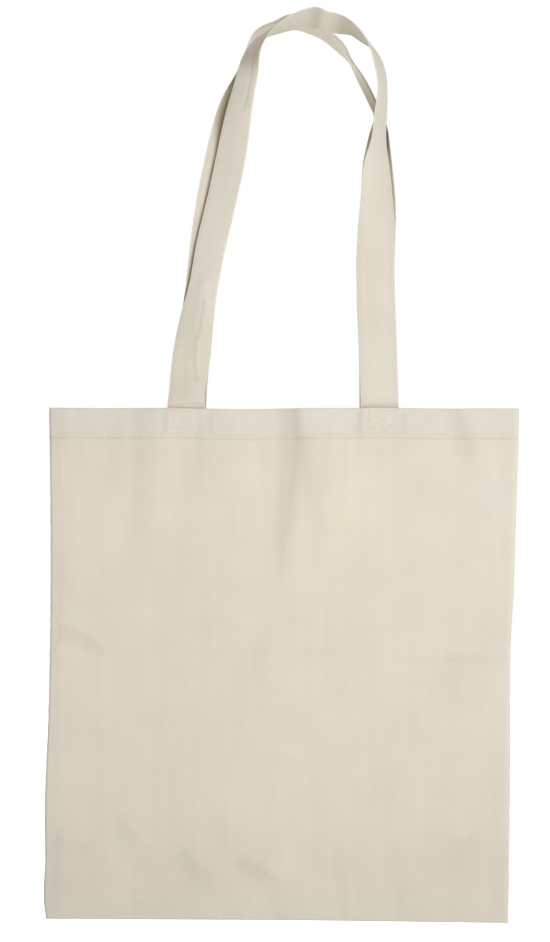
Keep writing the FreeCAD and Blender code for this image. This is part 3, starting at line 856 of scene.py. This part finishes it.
def care_label(material):
    """A blank folded tape caught in the right side seam."""
    low, high = cad("care_label")
    width, height = high[0] - low[0], high[2] - low[2]
    across, up = np.linspace(0, width, 25), np.linspace(0, height, 19)
    grid_x, grid_z = np.meshgrid(across, up, indexing="ij")
    curl = 0.25 * (1 - grid_x / width) ** 2 * np.sin(grid_z / height * math.pi)
    points = at_seam(low[0] + grid_x, low[1] + 0.08 - curl, low[2] + grid_z)
    shape = Shape()
    shape.grid(points, np.stack([grid_x, grid_z], axis=-1))
    piece = thicken(shape.finish("care_label_tape", material, "label"), LABEL_THICK)
    return piece


# ---------------------------------------------------------------- materials


class Nodes:
    """Short ways to add and join shader nodes."""

    def __init__(self, name):
        self.material = bpy.data.materials.new(name)
        self.material.use_nodes = True
        self.tree = self.material.node_tree
        self.shader = self.tree.nodes["Principled BSDF"]

    def add(self, kind, **settings):
        node = self.tree.nodes.new(kind)
        for key, value in settings.items():
            setattr(node, key, value)
        return node

    def join(self, source, target):
        self.tree.links.new(source, target)

    def cloth(self):
        """A point's place on its cloth as a vector, then across the cloth and along it."""
        place = self.add("ShaderNodeAttribute", attribute_type="GEOMETRY", attribute_name="weave")
        split = self.add("ShaderNodeSeparateXYZ")
        self.join(place.outputs["Vector"], split.inputs[0])
        return place.outputs["Vector"], split.outputs[0], split.outputs[1]

    def math(self, operation, *inputs):
        node = self.add("ShaderNodeMath", operation=operation)
        for i, value in enumerate(inputs):
            if isinstance(value, (int, float)):
                node.inputs[i].default_value = value
            else:
                self.join(value, node.inputs[i])
        return node.outputs[0]

    def noise(self, vector, scale, detail=2.0, stretch=None):
        if stretch:
            mapping = self.add("ShaderNodeMapping")
            mapping.inputs["Scale"].default_value = stretch
            self.join(vector, mapping.inputs["Vector"])
            vector = mapping.outputs["Vector"]
        node = self.add("ShaderNodeTexNoise")
        node.inputs["Scale"].default_value = scale
        node.inputs["Detail"].default_value = detail
        self.join(vector, node.inputs["Vector"])
        return node.outputs["Fac"]

    def tint(self, amount, dark, light):
        """A colour between dark and light by an amount from 0 to 1."""
        mix = self.add("ShaderNodeMix", data_type="RGBA")
        mix.inputs[6].default_value = (*dark, 1)
        mix.inputs[7].default_value = (*light, 1)
        self.join(amount, mix.inputs[0])
        return mix.outputs[2]

    def colour(self, base):
        """The shader's colour is the base tinted by the mesh's stored shade, which holds the cloth's tint
        with painted shade and light.
        """
        shade = self.add("ShaderNodeAttribute", attribute_type="GEOMETRY", attribute_name="shade")
        scale = self.add("ShaderNodeVectorMath", operation="MULTIPLY")
        self.join(base, scale.inputs[0])
        self.join(shade.outputs["Vector"], scale.inputs[1])
        self.join(scale.outputs["Vector"], self.shader.inputs["Base Color"])

    def finish(self, **values):
        """Sets values of the shader by name, with _ for each space."""
        for name, value in values.items():
            self.shader.inputs[name.replace("_", " ")].default_value = value

    def bump(self, height, distance, strength):
        node = self.add("ShaderNodeBump")
        node.inputs["Strength"].default_value = strength
        node.inputs["Distance"].default_value = distance
        self.join(height, node.inputs["Height"])
        self.join(node.outputs["Normal"], self.shader.inputs["Normal"])


def woven(name, colour, yarn):
    """Plain-woven unbleached cotton: crossing yarns, thick and thin places, flecks and soft mottling."""
    made = Nodes(name)
    place, across, up = made.cloth()
    turn = math.pi / yarn
    warp = made.math("ABSOLUTE", made.math("SINE", made.math("MULTIPLY", across, turn)))
    weft = made.math("ABSOLUTE", made.math("SINE", made.math("MULTIPLY", up, turn)))
    half = turn / 2
    cross_x = made.math("SINE", made.math("MULTIPLY", across, half))
    cross_z = made.math("SINE", made.math("MULTIPLY", up, half))
    over = made.math("MULTIPLY", cross_x, cross_z)
    choice = made.math("MULTIPLY_ADD", over, 2.0, 0.5)
    choice.node.use_clamp = True
    high = made.math("MULTIPLY", warp, choice)
    low = made.math("MULTIPLY", weft, made.math("SUBTRACT", 1.0, choice))
    weave = made.math("ADD", high, low)
    slub_up = made.noise(place, 1.0, 5.0, (120, 7, 1))
    slub_over = made.noise(place, 1.0, 5.0, (9, 150, 1))
    slubs = made.math("ADD", made.math("MULTIPLY", slub_up, 0.8), made.math("MULTIPLY", slub_over, 0.2))
    cloud = made.noise(place, 34.0, 3.0)
    grain = made.noise(place, 620.0, 2.0)
    tone = made.math("MULTIPLY_ADD", slubs, 0.5, 0.25)
    for source, share in ((cloud, 0.4), (grain, 0.35), (weave, 0.06)):
        tone = made.math("ADD", tone, made.math("MULTIPLY_ADD", source, share, -share / 2))
    dark = [c * 0.90 for c in colour]
    light = [min(1, c * 1.085) for c in colour]
    dark[2] *= 0.975
    base = made.tint(tone, dark, light)
    made.colour(base)
    made.finish(Roughness=0.86, Specular_IOR_Level=0.25, Sheen_Weight=0.25, Sheen_Roughness=0.5)
    relief = made.math("ADD", weave, made.math("MULTIPLY", slubs, 1.4))
    relief = made.math("ADD", relief, made.math("MULTIPLY", grain, 0.5))
    made.bump(relief, yarn * 0.12, 0.6)
    return made.material


def spun(name, colour, shine):
    """Sewing thread: two plies twisted together, a little glossier than the cloth."""
    made = Nodes(name)
    place, across, up = made.cloth()
    plies_up, plies_over = made.math("MULTIPLY", up, 6200.0), made.math("MULTIPLY", across, 3600.0)
    lean = made.math("ADD", plies_up, plies_over)
    twist = made.math("ABSOLUTE", made.math("SINE", lean))
    fuzz = made.noise(place, 900.0, 2.0)
    tone = made.math("ADD", made.math("MULTIPLY", twist, 0.7), made.math("MULTIPLY", fuzz, 0.3))
    base = made.tint(tone, [c * 0.86 for c in colour], [min(1, c * 1.04) for c in colour])
    made.colour(base)
    made.finish(Roughness=shine, Sheen_Weight=0.15)
    made.bump(twist, 0.00006, 0.7)
    return made.material


def satin(name, colour):
    """Blank woven tape with fine ribs across it."""
    made = Nodes(name)
    place, _, up = made.cloth()
    ribs = made.math("SINE", made.math("MULTIPLY", up, 2 * math.pi / 0.0006))
    soft = made.noise(place, 300.0, 2.0)
    tone = made.math("MULTIPLY_ADD", ribs, 0.2, 0.3)
    tone = made.math("ADD", tone, made.math("MULTIPLY", soft, 0.5))
    base = made.tint(tone, [c * 0.93 for c in colour], colour)
    made.join(base, made.shader.inputs["Base Color"])
    made.finish(Roughness=0.45)
    made.bump(ribs, 0.00005, 0.5)
    return made.material


CANVAS = woven("unbleached_canvas", (0.79, 0.727, 0.60), 0.00052)
STRAP = woven("unbleached_strap_cloth", (0.755, 0.705, 0.605), 0.00046)
THREADS = spun("sewing_thread", (0.83, 0.78, 0.66), 0.6)
STRAP_THREADS = spun("strap_thread", (0.77, 0.72, 0.61), 0.7)
OVERLOCK = spun("overlock_thread", (0.82, 0.78, 0.68), 0.65)
LABEL = satin("blank_label_tape", (0.88, 0.88, 0.86))


# ---------------------------------------------------------------- the bag


def follow_mouth(piece):
    """The piece opens with the mouth between the two handle ends and stays with the side seams."""
    held = STRAP_WIDTH / 2 + 2
    ramps = [(LEFT + 2, ENDS["left"][0] - held), (RIGHT - 2, ENDS["right"][0] + held)]
    weight = np.ones(len(piece.data.vertices), np.float32)
    for start, end in ramps:
        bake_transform(piece, "bag_back", "bag_front", start=(start * MM, 0, 0), end=(end * MM, 0, 0))
        ramp = np.empty_like(weight)
        piece.data.attributes["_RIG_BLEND"].data.foreach_get("value", ramp)
        weight *= ramp
    piece.data.attributes["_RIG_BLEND"].data.foreach_set("value", weight)


def build_side(which, side, folds, seed, strap, other):
    """One side of the bag with its handle and all its sewing."""
    panel = Panel(side, folds, seed)
    body, loop = f"bag_{which}", f"{which}_handle"
    handle = strap_cloth(loop, strap, other, STRAP)
    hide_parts(f"{which}_handle_strap", f"{which}_left_strap_end", f"{which}_right_strap_end")
    cloth = panel_cloth(f"{which}_cloth", panel, CANVAS)
    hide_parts(f"{which}_panel", f"{which}_hem_fold")
    top = hem_stitches(f"{which}_hem_top_stitches", panel, False, THREADS)
    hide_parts(f"{which}_hem_top_thread")
    bobbin = hem_stitches(f"{which}_hem_bobbin_stitches", panel, True, THREADS)
    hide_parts(f"{which}_hem_bobbin_thread")
    edges = edge_stitches(f"{which}_handle_stitches", strap, other, STRAP_THREADS)
    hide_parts(f"{which}_handle_edge_stitches")
    boxes = []
    for end in ("left", "right"):
        box = box_stitches(f"{which}_{end}_box_stitches", panel, strap, end, THREADS)
        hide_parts(f"{which}_{end}_box_stitch")
        boxes.append(box)
    for piece in (handle, edges):
        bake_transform(piece, body, loop, start=(0, 0, MOUTH * MM), end=(0, 0, (MOUTH + HANDLE_BEND) * MM))
    for piece in (cloth, top, bobbin):
        if side == FRONT:
            follow_mouth(piece)
        else:
            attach(piece, body)
    for box in boxes:
        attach(box, body)


front_strap = Strap(FRONT_ROUTE, FRONT, FRONT_CREASES, FRONT_PAINTED_SHADE)
back_strap = Strap(BACK_ROUTE, BACK, BACK_CREASES, BACK_PAINTED_SHADE)
build_side("front", FRONT, FRONT_FOLDS, 11, front_strap, back_strap)
build_side("back", BACK, BACK_FOLDS, 23, back_strap, front_strap)
for where in ("left", "right", "bottom"):
    turned = allowance(f"{where}_seam_cloth", where, CANVAS)
    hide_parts(f"{where}_seam_allowance")
    loops = overlock(f"{where}_seam_overlock_loops", where, OVERLOCK)
    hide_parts(f"{where}_seam_overlock")
    row = seam_thread(f"{where}_seam_stitches", where, THREADS)
    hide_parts(f"{where}_seam_thread")
    for piece in (turned, loops, row):
        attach(piece, "bag_back")
tape = care_label(LABEL)
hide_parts("care_label")
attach(tape, "bag_back")


# ---------------------------------------------------------------- studio

FLOOR_Z = -1.15
VIEW_X, VIEW_Z = -0.0204, -0.3596  # middle of the picture
VIEW_HEIGHT = 0.7682               # height of the picture at the bag
LENS, SENSOR = 100.0, 36.0


def studio():
    """A pale floor well below the bag, soft light from the upper right, and the camera."""
    bpy.ops.mesh.primitive_plane_add(size=14, location=(0, 0, FLOOR_Z))
    floor = bpy.context.object
    floor.name = "floor"
    pale = Nodes("pale_floor")
    place = pale.add("ShaderNodeNewGeometry").outputs["Position"]
    reach = pale.add("ShaderNodeVectorMath", operation="LENGTH")
    pale.join(place, reach.inputs[0])
    fade = pale.add("ShaderNodeMapRange", interpolation_type="SMOOTHSTEP")
    fade.inputs["From Min"].default_value, fade.inputs["From Max"].default_value = 1.25, 2.1
    pale.join(reach.outputs["Value"], fade.inputs["Value"])
    pale.join(fade.outputs["Result"], pale.shader.inputs["Emission Strength"])
    pale.finish(Emission_Color=(1, 1, 1, 1), Base_Color=(0.8, 0.8, 0.8, 1), Roughness=0.9)
    floor.data.materials.append(pale.material)

    world = bpy.data.worlds.new("studio")
    bpy.context.scene.world = world
    world.use_nodes = True
    tree = world.node_tree
    tree.nodes.clear()
    seen, light = tree.nodes.new("ShaderNodeBackground"), tree.nodes.new("ShaderNodeBackground")
    seen.inputs["Color"].default_value = light.inputs["Color"].default_value = (1, 1, 1, 1)
    seen.inputs["Strength"].default_value = 1.0
    light.inputs["Strength"].default_value = 0.33
    pick, rays = tree.nodes.new("ShaderNodeMixShader"), tree.nodes.new("ShaderNodeLightPath")
    out = tree.nodes.new("ShaderNodeOutputWorld")
    tree.links.new(rays.outputs["Is Camera Ray"], pick.inputs[0])
    tree.links.new(light.outputs[0], pick.inputs[1])
    tree.links.new(seen.outputs[0], pick.inputs[2])
    tree.links.new(pick.outputs[0], out.inputs[0])

    lamps = (
        ("key", (1.6, -3.3, 1.7), 1.6, 60.0),
        ("fill", (-2.5, -2.8, 0.4), 2.2, 13.0),
        ("rear", (-0.9, 2.2, 0.8), 1.5, 20.0),
    )
    target = Vector((VIEW_X, 0, VIEW_Z))
    for name, spot, size, power in lamps:
        lamp = bpy.data.lights.new(name, "AREA")
        lamp.shape, lamp.size, lamp.energy = "DISK", size, power
        holder = bpy.data.objects.new(name, lamp)
        holder.location = spot
        holder.rotation_euler = (target - Vector(spot)).to_track_quat("-Z", "Y").to_euler()
        bpy.context.scene.collection.objects.link(holder)

    camera = bpy.data.objects.new("camera", bpy.data.cameras.new("camera"))
    camera.data.lens, camera.data.sensor_width = LENS, SENSOR
    away = VIEW_HEIGHT * LENS / SENSOR
    camera.location = (VIEW_X, -away, VIEW_Z)
    camera.rotation_euler = (math.pi / 2, 0, 0)
    camera.data.clip_end = 100
    bpy.context.scene.collection.objects.link(camera)
    bpy.context.scene.camera = camera
    bpy.context.scene.view_settings.view_transform = "Standard"


studio()
